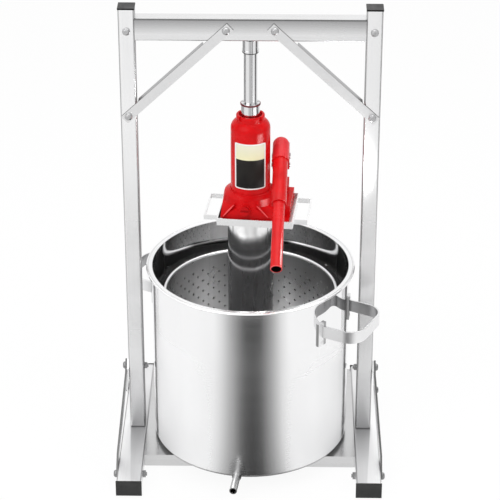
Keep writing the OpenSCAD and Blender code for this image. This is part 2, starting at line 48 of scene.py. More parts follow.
FOOT_TOP = FOOT_Z + FOOT_HALF_H
FOOT_ENDS = ((-1, -0.176), (1, 0.192))  # which way the end points along Y, and where it is
FOOT_CAP_LIP, FOOT_CAP_PLUG, FOOT_PLUG_IN = (0.042, 0.002, 0.028), (0.0356, 0.012, 0.0216), 0.007
TOP_CAP_LIP, TOP_CAP_PLUG = (0.0264, 0.0264, 0.003), (0.0206, 0.0206, 0.012)
TOP_LIP_Z, TOP_PLUG_Z = 0.7745, 0.767
LIP_ROUND, PLUG_ROUND, TOP_ROUND = 0.0008, 0.0010, 0.0010
CAP_BORDER, CAP_STEP, CAP_DIP = 0.0022, 0.0006, 0.0004
KNEE_BACK, KNEE_FRONT = -0.0125, -0.0145
STAY_REACH, STAY_LOW, STAY_TOP, STAY_W = 0.133, 0.0135, 0.140, 0.018
SOCKET_SEAL_Z = 0.7022

POT_R = 0.160
RIM_ROLL_R, RIM_ROLL_Z = 0.1652, 0.33235
HANDLE_TURN = math.radians(-27)
HANDLE_OUT, HANDLE_SIDE, HANDLE_BEND = 0.190, 0.022, 0.0254
TAB_R, TAB_SIDE, TAB_HALF = 0.163, 0.050, 0.008
SPOT_WELD_R, SPOT_WELD_ROWS = 0.0026, (0.2545, 0.2865)
SPOUT_TURN = math.radians(7)
SPOUT_Z, SPOUT_END = 0.0275, 0.2009

BASKET_R, BASKET_FLOOR, BASKET_RIM = 0.139, 0.031, 0.288
BEAD_R = 0.0026
HOLE_R, HOLE_PITCH = 0.0030, 0.0197
HOLE_ROWS, HOLE_PAIRS = 12, 42
SCREEN_TOP, SCREEN_SHEET = 0.2699, 0.0012
SCREEN_LOW = SCREEN_TOP - HOLE_ROWS * HOLE_PITCH
FLOOR_R, FLOOR_SHEET, FLOOR_EDGE, FLOOR_DISH = BASKET_R - 0.0013, 0.0015, 0.006, 0.0004
BASKET_FOOT_R, BASKET_FOOT_H, BASKET_FOOT_OUT, BASKET_FOOT_ROUND = 0.008, 0.006, 0.1, 0.0008

JACK_YAW = math.radians(-6)
TRAY_X, TRAY_Y = (-0.045, 0.071), (-0.053, 0.049)
BASE_FRONT, BASE_LOW, BASE_LEAN = -0.048, 0.438, math.atan2(9, 32)
RIB_RISE, RIB_RUN, RIB_PROUD, RIB_BEAD_R = 0.0225, 0.0265, 0.0024, 0.0012
LABEL_W, LABEL_LOW, LABEL_HIGH = 0.048, 0.481, 0.559
LABEL_SPLIT = LABEL_LOW + 0.0505
LEVER_DROP = math.radians(27)
LEVER_FRAME = Matrix.Translation((0.048, 0.020, 0.0)) @ Matrix.Rotation(math.radians(-1.6), 4, "Z")
LEVER_WAY = LEVER_FRAME.to_3x3() @ Vector((0.0, -math.cos(LEVER_DROP), -math.sin(LEVER_DROP)))
HOOD_Z, HOOD_END, UPPER_END, LEVER_END = 0.535, 0.0314, 0.1146, 0.2374
PIN_SIDE = 0.0141
PINS = ((0.0135, 0.5100, 0.0042), (-0.00254, 0.50183, 0.0032))  # y and z in the lever's frame, and radius

CARD_AWAY, CARD_LOW, CARD_HIGH = 1.05, 0.01, 0.71
WHITE = (1.0, 1.0, 1.0)
ENAMEL = (0.65, 0.005, 0.007)
NOISE_LOW, NOISE_HIGH = 0.3, 0.7


def grey(tone, blue=0.0):
    return (tone, tone, tone + blue)


def steel(tone):
    """Grey with a trace of blue."""
    return grey(tone, 0.005)


def lever_point(along):
    """A point of the lever's axis, measured from the middle of the socket's round end."""
    return LEVER_FRAME @ Vector((0.0, 0.0, HOOD_Z)) + LEVER_WAY * along


# ---------------------------------------------------------------- camera
def set_camera():
    lens = bpy.data.cameras.new("photo_camera")
    lens.lens = 148.17
    lens.sensor_width = 36.0
    eye = bpy.data.objects.new("photo_camera", lens)
    eye.location = (0.04794, -2.92819, 1.90716)
    eye.rotation_euler = (math.radians(62.12), 0.0, math.radians(0.953))
    bpy.context.scene.collection.objects.link(eye)
    bpy.context.scene.camera = eye


# ---------------------------------------------------------------- shader nodes
class Nodes:
    """Shader nodes in one tree: each helper adds what it needs and returns an output to go on from."""

    def __init__(self, tree):
        self.tree = tree

    @cached_property
    def place(self):
        """Where a point lies, in the piece's own coordinates."""
        return self.add("ShaderNodeTexCoord").outputs["Object"]

    def feed(self, socket, value):
        """Sets a socket to a number or a colour, or links an output to it."""
        if isinstance(value, (int, float)):
            socket.default_value = value
        elif isinstance(value, tuple):
            socket.default_value = (*value, 1.0)
        else:
            self.tree.links.new(value, socket)

    def add(self, kind, **inputs):
        node = self.tree.nodes.new(kind)
        for label, value in inputs.items():
            self.feed(node.inputs[label.replace("_", " ")], value)
        return node

    def axes(self):
        return tuple(self.add("ShaderNodeSeparateXYZ", Vector=self.place).outputs)

    def stretch(self, scale, turn=(0, 0, 0)):
        node = self.add("ShaderNodeMapping", Vector=self.place)
        node.inputs["Scale"].default_value = scale
        node.inputs["Rotation"].default_value = turn
        return node.outputs["Vector"]

    def noise(self, vector, scale, detail=3.0, rough=0.55):
        node = self.add("ShaderNodeTexNoise", Vector=vector, Scale=scale, Detail=detail, Roughness=rough)
        return node.outputs["Fac"]

    def maths(self, how, a, b=0.0):
        node = self.add("ShaderNodeMath")
        node.operation = how
        self.feed(node.inputs[0], a)
        self.feed(node.inputs[1], b)
        return node.outputs[0]

    def vector(self, how, a, b=None):
        node = self.add("ShaderNodeVectorMath")
        node.operation = how
        self.tree.links.new(a, node.inputs[0])
        if b is not None:
            node.inputs[1].default_value = b
        return node.outputs["Value" if how == "LENGTH" else "Vector"]

    def plus(self, total, *terms):
        for term in terms:
            total = self.maths("ADD", total, term)
        return total

    def times(self, product, *factors):
        for factor in factors:
            product = self.maths("MULTIPLY", product, factor)
        return product

    def most(self, a, b):
        return self.maths("MAXIMUM", a, b)

    def least(self, a, b):
        return self.maths("MINIMUM", a, b)

    def size(self, value):
        return self.maths("ABSOLUTE", value)

    def diagonal(self, a, b):
        return self.maths("POWER", self.plus(self.times(a, a), self.times(b, b)), 0.5)

    def remap(self, value, low, high, start=0.0, end=1.0):
        """From low to high while the value goes from start to end, and level outside."""
        return self.add("ShaderNodeMapRange", Value=value, From_Min=start, From_Max=end, To_Min=low,
                        To_Max=high).outputs["Result"]

    def rise(self, value, start, end, top=1.0):
        return self.remap(value, 0.0, top, start, end)

    def fall(self, value, start, end, top=1.0):
        return self.remap(value, top, 0.0, start, end)

    def rest_of(self, value):
        return self.remap(value, 1.0, 0.0)

    def spread(self, noise, low, high):
        """A noise over its usual span, from low to high."""
        return self.remap(noise, low, high, NOISE_LOW, NOISE_HIGH)

    def ramp(self, factor, *stops):
        node = self.add("ShaderNodeValToRGB", Fac=factor)
        elements = node.color_ramp.elements
        while len(elements) < len(stops):
            elements.new(0.5)
        for element, (place, colour) in zip(elements, stops):
            element.position = place
            element.color = (*colour, 1.0)
        return node.outputs["Color"]

    def two_tone(self, noise, dark, light):
        return self.ramp(noise, (NOISE_LOW, dark), (NOISE_HIGH, light))

    def blend(self, factor, a, b):
        """Colour a where the factor is 0, colour b where it is 1."""
        node = self.add("ShaderNodeMix")
        node.data_type = "RGBA"
        self.feed(node.inputs["Factor"], factor)
        ends = [s for s in node.inputs if s.type == "RGBA"]
        self.feed(ends[0], a)
        self.feed(ends[1], b)
        return [s for s in node.outputs if s.type == "RGBA"][0]

    def mix_shaders(self, factor, a, b):
        node = self.add("ShaderNodeMixShader")
        for socket, value in zip(node.inputs, (factor, a, b)):
            self.feed(socket, value)
        return node.outputs[0]

    def emission(self, colour, strength=1.0):
        return self.add("ShaderNodeEmission", Color=colour, Strength=strength).outputs[0]

    def from_axis(self):
        """Distance from the press axis."""
        x, y, _ = self.axes()
        return self.diagonal(x, y)

    def by_handle(self):
        """Distances from the pot's middle along the two handles and across them, the same on both sides."""
        x, y, _ = self.axes()
        c, s = math.cos(HANDLE_TURN), math.sin(HANDLE_TURN)
        return (self.size(self.plus(self.times(x, c), self.times(y, s))),
                self.size(self.plus(self.times(x, -s), self.times(y, c))))


class Finish(Nodes):
    """A node material on one Principled shader."""

    def __init__(self, name, **sockets):
        self.mat = bpy.data.materials.new(name)
        self.mat.use_nodes = True
        super().__init__(self.mat.node_tree)
        self.shader = self.tree.nodes["Principled BSDF"]
        self.wire(**sockets)

    def wire(self, **sockets):
        for label, value in sockets.items():
            self.feed(self.shader.inputs[label.replace("_", " ")], value)

    def relief(self, height, strength, depth):
        bump = self.add("ShaderNodeBump", Height=height, Strength=strength, Distance=depth)
        self.wire(Normal=bump.outputs["Normal"])


# ---------------------------------------------------------------- frame finishes
def satin_tube(name, along, tone, rough, corners=None):
    """Silver frame steel, ground lengthwise: along gives the scale of the grinding lines on each axis, and
    corners the axis, middle and half size of a tube both ways across, whose rolled corners get painted shade."""
    f = Finish(name, Metallic=1.0)
    lines = f.noise(f.stretch(along), 1.0, 4.0, 0.7)
    cloud = f.noise(f.place, 7.0)
    both = f.plus(f.times(lines, 0.45), f.times(cloud, 0.55))
    blue = 0.005 * tone
    f.shade = f.ramp(both, (0.30, grey(0.93 * tone, blue)), (0.5, grey(tone, blue)), (0.72, grey(1.06 * tone, blue)))
    if corners:
        corner_shade = []
        for axis, middle, half in corners:
            off = f.size(f.plus(f.size(f.axes()["XYZ".index(axis)]), -middle))
            corner_shade.append(f.rise(off, half - TUBE_CORNER, half - 0.3 * TUBE_CORNER))
        # painted shade: the rolled corners are darkened as outlines of shade along the tube's edges
        f.shade = f.blend(f.times(*corner_shade, 0.85), f.shade, steel(0.30))
    f.grain = f.spread(both, 0.85 * rough, 1.2 * rough)
    f.wire(Base_Color=f.shade, Roughness=f.grain)
    f.relief(lines, 0.05, 0.0004)
    return f


def beam_tube():
    """The front face has painted shade growing towards its upper edge, which ends in a dark line of painted shade.
    """
    f = satin_tube("satin_beam_steel", (5, 420, 420), 0.78, 0.26,
                   (("Y", 0.0, POST_HALF), ("Z", BEAM_Z, BEAM_HALF)))
    _, y, z = f.axes()
    low, high = BEAM_Z - BEAM_HALF, BEAM_Z + BEAM_HALF
    # the lowest band keeps plain steel, without the painted corner shade
    plain = f.blend(f.fall(z, low + 0.0028, low + 0.0045), f.shade, steel(0.78))
    # painted shade: the front face darkens towards its upper edge
    painted_shade = f.times(f.fall(y, -0.0116, -0.0092), f.rise(z, 0.734, high - 0.0010, 0.74))
    # painted shade: a dark line along the top of the front face
    top_edge_shade = f.times(f.rise(z, high - 0.0026, high - 0.0014, 0.9), f.fall(y, -0.0112, -0.0104))
    f.wire(Base_Color=f.blend(top_edge_shade, f.blend(painted_shade, plain, steel(0.20)), grey(0.10)))
    return f.mat


def post_tube():
    """Painted shade growing towards the feet, with a dark line where the post stands, rubbed matt halfway up, and
    matt on the inner sides, whose grey is painted shade."""
    f = satin_tube("satin_post_steel", (420, 420, 5), 0.86, 0.22,
                   (("X", POST_X, POST_HALF), ("Y", 0.0, POST_HALF)))
    x, _, z = f.axes()
    # painted shade: darker towards the feet
    painted_shade = f.blend(f.plus(f.fall(z, 0.02, 0.17, 0.52), f.fall(z, 0.10, 0.42, 0.16)), f.shade, steel(0.30))
    inner_face = POST_X - POST_HALF
    # painted shade: the inner sides, facing each other, are grey
    inner = f.fall(f.size(x), inner_face + 0.0001, inner_face + 0.0005)
    foot_line = f.fall(z, FOOT_TOP + 0.0010, FOOT_TOP + 0.0020, 0.85)
    metal = f.most(f.remap(z, 0.4, 1.0, 0.36, 0.46), f.remap(z, 1.0, 0.4, 0.17, 0.27))
    f.wire(Base_Color=f.blend(foot_line, f.blend(inner, painted_shade, grey(0.44)), grey(0.08)),
           Metallic=f.times(metal, f.rest_of(inner)), Roughness=f.plus(f.grain, f.times(inner, 0.7)))
    return f.mat


def foot_tube():
    """Painted shade of each post on its foot, in front of and behind the post."""
    f = satin_tube("satin_foot_steel", (420, 5, 420), 0.94, 0.34,
                   (("X", FOOT_X, FOOT_HALF_W), ("Z", FOOT_Z, FOOT_HALF_H)))
    x, y, _ = f.axes()
    along = f.size(y)
    off = f.plus(f.size(x), -POST_X, f.times(along, 0.066))
    # painted shade: darker on the foot next to each post, fading along the foot
    post_shade = f.times(f.fall(off, POST_HALF, POST_HALF + 0.0015), f.remap(along, 0.85, 0.28, 0.012, 0.13))
    f.wire(Base_Color=f.blend(post_shade, f.shade, steel(0.42)))
    return f.mat


def knee_bar():
    """Flat front whose cut edges are darkened with painted shade, and a darker flange behind it."""
    f = satin_tube("satin_knee_steel", (120, 120, 120), 0.74, 0.32)
    y = f.axes()[1]
    # painted shade: dark cut edges along the front
    shade_edged = f.blend(f.rise(y, KNEE_FRONT + 0.00005, KNEE_FRONT + 0.00025), f.shade, grey(0.14))
    f.wire(Base_Color=f.blend(f.rise(y, KNEE_BACK + 0.0001, KNEE_BACK + 0.0005), shade_edged, steel(0.40)))
    return f.mat


def stay_bar():
    """Flat bar whose cut edges are darkened with painted shade."""
    f = satin_tube("satin_stay_steel", (300, 60, 60), 0.78, 0.32)
    _, y, z = f.axes()
    lean = math.atan2(STAY_REACH, STAY_TOP - STAY_LOW)
    over = f.plus(f.times(f.size(y), math.cos(lean)), f.times(f.plus(z, -STAY_TOP), math.sin(lean)))
    # painted shade: the cut edges are dark
    edge = f.rise(f.size(over), STAY_W / 2 - 0.0004, STAY_W / 2 - 0.0001)
    f.wire(Base_Color=f.blend(edge, f.shade, grey(0.13)))
    return f.mat


def zinc_plate(name, tone):
    f = Finish(name, Metallic=1.0)
    spangle = f.noise(f.place, 420.0)
    f.wire(Base_Color=f.two_tone(spangle, grey(0.84 * tone, 0.01 * tone), grey(1.14 * tone, 0.01 * tone)),
           Roughness=f.spread(spangle, 0.24, 0.42))
    f.relief(spangle, 0.05, 0.0002)
    return f.mat


def moulded_black(name, tone, grain=900.0, gloss=0.35, lip=None):
    """Moulded plastic or rubber, with painted shade making it black below the height of the lip where one is given.
    """
    f = Finish(name, Specular_IOR_Level=gloss)
    cells = f.noise(f.place, grain)
    shade = f.two_tone(f.noise(f.place, 60.0, 2.0), grey(0.8 * tone), grey(1.25 * tone))
    if lip:
        # painted shade: black sides below the lip
        shade = f.blend(f.fall(f.axes()[2], lip - 0.0003, lip), shade, grey(0.001))
    f.wire(Base_Color=shade, Roughness=f.spread(cells, 0.42, 0.60))
    f.relief(cells, 0.12, 0.0002)
    return f.mat


# ---------------------------------------------------------------- pot, basket and column finishes
def mirror_pot():
    """Polished outside, brightest round the handles, with painted shade round the spout, plainer inside, with
    painted shade low in the gap behind the basket and a band of painted shade at the back, and faint rings from the
    polishing wheel."""
    f = Finish("polished_pot_steel")
    x, y, z = f.axes()
    rings = f.noise(f.stretch((2, 2, 900)), 1.0, 4.0, 0.6)
    smear = f.noise(f.stretch((6, 6, 1.5)), 2.0, 2.0)
    inside = f.fall(f.from_axis(), POT_R - 0.0012, POT_R - 0.0004)
    # painted shade: dark low inside, in the gap between the basket and the pot
    gap_shade = f.times(inside, f.fall(z, 0.262, 0.284))
    back = f.rise(y, 0.05, 0.08)

    # painted shade on the outside round the spout
    spout_shade_x, spout_shade_z, spout_shade_half_w, spout_shade_half_h = -0.0185, 0.036, 0.015, 0.030
    aside = f.times(f.plus(x, -spout_shade_x), 1 / spout_shade_half_w)
    above = f.times(f.plus(z, -spout_shade_z), 1 / spout_shade_half_h)
    from_spout_shade = f.plus(f.times(aside, aside), f.times(above, above))
    spout_shade = f.times(f.fall(from_spout_shade, 0.1, 1.0, 0.55), f.fall(y, -0.02, 0.0))
    outer_tone = f.blend(spout_shade, f.two_tone(smear, steel(0.87), steel(0.92)), grey(0.30))
    # painted shade: a dark band across the back of the inside
    shade_band_x, shade_band_z, shade_band_curve = -0.018, 0.2941, 0.64
    from_shade_band = f.size(f.plus(z, -shade_band_z, f.times(x, x, -shade_band_curve)))
    shade_band = f.times(f.fall(from_shade_band, 0.0032, 0.0052), f.fall(f.size(f.plus(x, -shade_band_x)), 0.078, 0.094), back)
    inner_tone = f.blend(shade_band, f.two_tone(rings, steel(0.74), steel(0.84)), grey(0.15))
    f.wire(Base_Color=f.blend(gap_shade, f.blend(inside, outer_tone, inner_tone), grey(0.30)))

    flank = f.rise(f.size(x), 0.1495, 0.1535)
    low_side = f.times(f.rise(f.size(x), 0.055, 0.105), f.fall(z, 0.15, 0.26), f.rest_of(flank))
    rubbed = f.times(f.rise(x, -0.088, -0.052, 0.55), f.fall(x, -0.025, 0.0), inside, f.rise(z, 0.297, 0.302), back)
    f.wire(Metallic=f.plus(f.remap(gap_shade, 1.0, 0.45), f.times(low_side, f.remap(inside, -0.80, 0.0)),
                           f.times(rubbed, -1.0)))

    shine = f.times(f.rise(f.by_handle()[0], 0.120, 0.140, -0.17), f.rise(z, 0.190, 0.235))
    rim = f.plus(f.rise(z, 0.3295, 0.3315, 0.12), f.rise(z, 0.235, 0.310, -0.10))
    f.wire(Roughness=f.plus(f.spread(rings, 0.20, 0.26), f.times(low_side, 0.28),
                            f.least(shine, f.times(flank, -0.15)), rim, f.times(spout_shade, 0.12), f.times(inside, -0.11)))
    f.relief(rings, 0.02, 0.0002)
    return f.mat


def bright_strip(name, tone, rough):
    """Polished metal: the spout, the basket's bead and the pot's rim."""
    f = Finish(name, Metallic=1.0)
    fine = f.noise(f.stretch((60, 60, 700)), 1.0)
    f.wire(Base_Color=f.two_tone(f.noise(f.place, 28.0), grey(0.94 * tone), grey(tone, 0.005 * tone)),
           Roughness=f.spread(fine, 0.8 * rough, 1.3 * rough))
    f.relief(fine, 0.03, 0.0002)
    return f.mat


def handle_strip():
    """Polished strip with painted shade on its inner faces and on the edges of the welded tabs."""
    f = Finish("polished_handle_strip", Metallic=1.0)
    cloud = f.noise(f.place, 28.0)
    out, side = f.by_handle()
    bend = f.diagonal(f.most(f.plus(out, -HANDLE_OUT), 0.0), f.most(f.plus(side, -HANDLE_SIDE), 0.0))
    inner = f.fall(bend, HANDLE_BEND - 0.0002, HANDLE_BEND + 0.0002)
    from_tab = f.size(f.plus(side, -TAB_SIDE))
    # painted shade: dark edges round the welded tabs
    tab_edge_shade = f.times(f.rise(from_tab, TAB_HALF - 0.0006, TAB_HALF - 0.0003),
                       f.fall(f.from_axis(), TAB_R + 0.0001, TAB_R + 0.0005))
    # painted shade: the inner faces are darker than the outer ones
    bright, painted_shade = f.two_tone(cloud, steel(0.82), steel(0.88)), f.two_tone(cloud, steel(0.34), steel(0.46))
    f.wire(Base_Color=f.blend(tab_edge_shade, f.blend(inner, bright, painted_shade), grey(0.36)),
           Roughness=f.spread(cloud, 0.26, 0.34))
    return f.mat


def column_steel():
    """Drawn tube, polished below the tray, with painted shade making it darker further down."""
    f = Finish("polished_column_steel")
    up = f.noise(f.stretch((500, 500, 3)), 1.0, 4.0, 0.65)
    cloud = f.noise(f.place, 18.0, 2.0)
    # painted shade: the column is dark below its light band under the tray
    shade = f.two_tone(f.plus(f.times(up, 0.5), f.times(cloud, 0.5)), steel(0.34), steel(0.39))
    high = f.rise(f.axes()[2], 0.374, 0.390)
    f.wire(Base_Color=f.blend(high, shade, grey(0.90)), Metallic=f.remap(high, 0.86, 1.0),
           Roughness=f.plus(f.spread(up, 0.085, 0.105), f.times(high, 0.05)))
    f.relief(up, 0.008, 0.0002)
    return f.mat


def screen_steel(name, tone):
    """Drawn sheet, brighter low down towards the right."""
    f = Finish(name, Metallic=1.0)
    x, _, z = f.axes()
    up = f.noise(f.stretch((260, 260, 4)), 1.0, 4.0, 0.6)
    cloud = f.noise(f.place, 14.0)
    both = f.plus(f.times(up, 0.4), f.times(cloud, 0.6))
    shade = f.two_tone(both, grey(0.9 * tone), grey(1.08 * tone, 0.01 * tone))
    # lighter low down, growing towards the right
    brighter_patch = f.times(f.fall(z, 0.19, 0.265, 0.42), f.rise(x, -0.105, -0.080), f.remap(x, 1.0, 1.75, -0.01, 0.06))
    f.wire(Base_Color=f.blend(brighter_patch, shade, grey(0.90)), Roughness=f.spread(cloud, 0.2465, 0.348))
    f.relief(up, 0.04, 0.0003)
    return f.mat


# ---------------------------------------------------------------- jack finishes
def tray_steel():
    """Bright outside; inside, painted shade darkens the floor and the left faces, and the right end stays light."""
    f = Finish("bright_tray_steel")
    cloud = f.noise(f.place, 28.0)
    x, y, _ = f.add("ShaderNodeSeparateXYZ", Vector=f.stretch((1, 1, 1), (0, 0, -JACK_YAW))).outputs

    def between(value, low, high):
        return f.times(f.rise(value, low - 0.0004, low - 0.0002), f.fall(value, high + 0.0002, high + 0.0004))

    # painted shade inside the tray, left off at its right end
    inner = f.times(between(x, *TRAY_X), between(y, *TRAY_Y))
    unshaded_end = f.rise(x, 0.040, 0.058)
    inner_tone = f.blend(unshaded_end, grey(0.16), grey(0.86))
    f.wire(Base_Color=f.blend(inner, f.two_tone(cloud, grey(0.88), steel(0.93)), inner_tone),
           Metallic=f.remap(f.times(inner, unshaded_end), 1.0, 0.25), Roughness=f.spread(cloud, 0.22, 0.32))
    return f.mat


def gloss_red(name, tone=ENAMEL, gloss=0.10):
    """Thick enamel over a casting: slight orange peel and slow changes of depth."""
    f = Finish(name, Metallic=0.0, Specular_IOR_Level=gloss)
    slow = f.noise(f.place, 34.0)
    red, green, blue = tone
    f.shade = f.ramp(slow, (0.28, (0.86 * red, 0.8 * green, 0.8 * blue)), (0.5, tone),
                     (0.75, (1.10 * red, 1.5 * green, 1.5 * blue)))
    f.wire(Base_Color=f.shade, Roughness=f.spread(slow, 0.20, 0.30))
    f.relief(f.noise(f.place, 620.0, 2.0), 0.05, 0.0003)
    return f


def lever_red(name, tone):
    """The lever's enamel, with the bore of the tube left bare and dark."""
    f = gloss_red(name, tone, 0.24)
    swing = f.vector("CROSS_PRODUCT", f.vector("SUBTRACT", f.place, lever_point(0.0)), LEVER_WAY)
    bore = f.fall(f.vector("LENGTH", swing), 0.0078, 0.0084)
    f.wire(Base_Color=f.blend(bore, f.shade, (0.006, 0.004, 0.004)))
    return f.mat


def ground_chrome():
    """Chrome with soft bands along it, mostly painted reflections with a little streaking from drawing, and fine
    lines across it from grinding.
    """
    f = Finish("ground_chrome", Metallic=1.0)
    x, y, _ = f.axes()
    turns = f.noise(f.stretch((3, 3, 1600)), 1.0)
    drawn = f.noise(f.stretch((120, 120, 1.2)), 1.0, 2.0, 0.4)
    # painted reflection: seven light and dark bands round the axis, running along the chrome
    reflection_band = f.maths("COSINE", f.times(f.maths("ARCTAN2", x, y), 7.0))
    f.wire(Base_Color=f.ramp(f.plus(f.rise(reflection_band, -1.0, 1.0, 0.8), f.times(drawn, 0.2)),
                             (0.08, steel(0.42)), (0.36, steel(0.60)), (0.62, steel(0.77))),
           Roughness=f.spread(turns, 0.12, 0.18))
    f.relief(turns, 0.04, 0.0001)
    return f.mat


def seal_rubber():
    f = Finish("seal_rubber", Specular_IOR_Level=0.3)
    cells = f.noise(f.place, 500.0)
    f.wire(Base_Color=f.two_tone(cells, (0.10, 0.006, 0.010), (0.17, 0.010, 0.016)),
           Roughness=f.spread(cells, 0.40, 0.55))
    f.relief(cells, 0.08, 0.0002)
    return f.mat


def plain_label():
    """A blank sticker with round corners: white margin, cream field above, black field below, no print."""
    f = Finish("blank_label", Specular_IOR_Level=0.1)
    x, _, z = f.axes()
    side = f.size(x)
    rise = f.size(f.plus(z, -(LABEL_LOW + LABEL_HIGH) / 2))

    def within(half_w, half_h, corner):
        far = f.diagonal(f.most(f.plus(side, corner - half_w), 0.0), f.most(f.plus(rise, corner - half_h), 0.0))
        return f.fall(far, corner - 0.0002, corner + 0.0002)

    half_w, half_h = LABEL_W / 2, (LABEL_HIGH - LABEL_LOW) / 2
    sticker = within(half_w, half_h, 0.0028)
    field = within(half_w - 0.0020, half_h - 0.0021, 0.0014)
    upper = f.rise(z, LABEL_SPLIT - 0.0002, LABEL_SPLIT + 0.0002)
    fade = f.noise(f.place, 30.0, 2.0)
    cream = f.ramp(f.plus(f.rise(z, LABEL_SPLIT, LABEL_HIGH), f.times(fade, 0.2)),
                   (0.1, (0.86, 0.83, 0.52)), (0.9, (0.84, 0.82, 0.66)))
    black = f.two_tone(fade, (0.012, 0.011, 0.011), (0.024, 0.022, 0.020))
    panel = f.blend(field, (0.90, 0.90, 0.89), f.blend(upper, black, cream))
    f.wire(Base_Color=f.blend(sticker, ENAMEL, panel), Roughness=f.spread(fade, 0.45, 0.55))
    return f.mat


# ---------------------------------------------------------------- which finish goes where
POST, BEAM, FOOT, KNEE, STAY = post_tube(), beam_tube(), foot_tube(), knee_bar(), stay_bar()
BAR = satin_tube("satin_bar_steel", (120, 120, 120), 0.76, 0.32).mat
SHEET = satin_tube("satin_sheet_steel", (4, 300, 300), 0.62, 0.22).mat
ZINC = zinc_plate("zinc_plate", 0.48)
BOLT = zinc_plate("dull_bolt_zinc", 0.27)
CAP = moulded_black("moulded_cap", 0.024)
TOP_CAP = moulded_black("moulded_top_cap", 0.090, gloss=0.02, lip=TOP_LIP_Z + 0.0011)
RUBBER = moulded_black("plug_rubber", 0.02, 500.0)
SEAL = seal_rubber()
POT, STRIP, COLUMN = mirror_pot(), handle_strip(), column_steel()
SPOUT = bright_strip("polished_spout", 0.66, 0.12)
BEAD = bright_strip("bright_bead_steel", 0.92, 0.34)
RIM = bright_strip("bright_rim_steel", 0.80, 0.24)
SCREEN = screen_steel("basket_screen_steel", 0.46)
PLATE = screen_steel("press_plate_steel", 0.55)
TRAY, CHROME, LABEL = tray_steel(), ground_chrome(), plain_label()
RED = gloss_red("gloss_red_paint").mat
RED_DEEP = gloss_red("gloss_red_fitting", (0.52, 0.004, 0.006)).mat
# painted highlight: a paler copy of the red enamel, for the beads on the ribs and the lever's end lip
RED_HIGHLIGHT = gloss_red("gloss_red_painted_highlight", (0.88, 0.110, 0.115)).mat
RED_LEVER = lever_red("gloss_red_lever", (0.70, 0.007, 0.009))
# painted sheen: a lighter, pinker copy of the lever's enamel for the hood
RED_HOOD_SHEEN = lever_red("gloss_red_hood_sheen", (0.76, 0.030, 0.037))

FINISH_OF = {
    "left_foot": FOOT, "right_foot": FOOT, "foot_caps": CAP,
    "left_post": POST, "right_post": POST, "post_caps": TOP_CAP,
    "top_beam": BEAM, "beam_straps": BAR, "beam_bolts": ZINC, "beam_nuts": ZINC,
    "left_knee_brace": KNEE, "right_knee_brace": KNEE, "knee_brace_bolts": ZINC, "knee_brace_nuts": ZINC,
    "left_front_brace": STAY, "right_front_brace": STAY, "left_rear_brace": BAR, "right_rear_brace": BAR,
    "foot_brace_bolts": BOLT, "foot_brace_nuts": BOLT, "base_plate": SHEET, "jack_socket": CHROME,
    "pot": POT, "pot_spout": SPOUT, "right_pot_handle": STRIP, "left_pot_handle": STRIP, "basket": SCREEN,
    "press_plate": PLATE, "press_column": COLUMN, "jack_tray": TRAY, "tray_handles": TRAY,
    "jack_base": RED, "jack_tank": RED, "tank_label": LABEL, "gland_nut": RED, "filler_plug": RUBBER,
    "pressure_cylinder": ZINC, "ram": CHROME, "ram_wiper": SEAL, "extension_rod": CHROME,
    "pump_cylinder": RED, "pump_bracket": RED, "pump_plunger": ZINC, "release_valve": RED_DEEP,
    "handle_socket": RED_HOOD_SHEEN, "lever_pins": ZINC, "lever_upper": RED_LEVER, "lever_lower": RED_LEVER,
}


def dress_solids():
    for name, solid in solids.items():
        solid.data.materials.clear()
        solid.data.materials.append(FINISH_OF[name])


# ---------------------------------------------------------------- workshop helpers
def start_fresh():
    if bpy.context.object and bpy.context.object.mode != "OBJECT":
        bpy.ops.object.mode_set(mode="OBJECT")
    bpy.ops.object.select_all(action="DESELECT")


def edit(part):
    bpy.context.view_layer.objects.active = part
    bpy.ops.object.mode_set(mode="EDIT")
    bpy.ops.mesh.select_all(action="SELECT")


def leave_edit():
    bpy.ops.object.mode_set(mode="OBJECT")


def settle():
    """Moves the place, turn and scale of what is selected into its mesh."""
    bpy.ops.object.transform_apply(location=True, rotation=True, scale=True)


def edit_faces(part, wanted):
    """Opens a part for editing with only the wanted faces selected."""
    edit(part)
    bpy.ops.mesh.select_all(action="DESELECT")
    leave_edit()
    for face in part.data.polygons:
        face.select = wanted(face)
    bpy.ops.object.mode_set(mode="EDIT")


def turned_to(way):
    return Vector((0, 0, 1)).rotation_difference(Vector(way)).to_matrix().to_4x4()


def keep(part, name, finish, body, smooth=40):
    """Names a finished piece, settles its place into its mesh and seats it on its body."""
    start_fresh()
    part.select_set(True)
    bpy.context.view_layer.objects.active = part
    settle()
    bpy.ops.object.shade_smooth_by_angle(angle=math.radians(smooth))
    part.name = part.data.name = name
    part.data.materials.clear()
    part.data.materials.append(finish)
    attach(part, body)
    start_fresh()
    return part


def apply_stack(part):
    bpy.context.view_layer.objects.active = part
    for modifier in list(part.modifiers):
        bpy.ops.object.modifier_apply(modifier=modifier.name)


def close_up(part, distance=0.00004):
    edit(part)
    bpy.ops.mesh.remove_doubles(threshold=distance)
    bpy.ops.mesh.normals_make_consistent(inside=False)
    leave_edit()


def join(parts):
    start_fresh()
    for part in parts:
        part.select_set(True)
    bpy.context.view_layer.objects.active = parts[0]
    bpy.ops.object.join()
    return parts[0]


def spun_ring(radius, tube, high, steps, sides, middle, axis=(0, 0, 1)):
    """A ring with an oval section, spun round its middle and set square to its axis."""
    start_fresh()
    bpy.ops.mesh.primitive_circle_add(vertices=sides, radius=tube, location=(radius, 0, 0),
                                      rotation=(math.pi / 2, 0, 0))
    part = bpy.context.object
    settle()
    edit(part)
    bpy.ops.transform.resize(value=(1, 1, high))
    bpy.ops.mesh.spin(steps=steps, angle=2 * math.pi, center=(0, 0, 0), axis=(0, 0, 1))
    leave_edit()
    close_up(part)
    part.matrix_world = Matrix.Translation(middle) @ turned_to(axis)
    return part


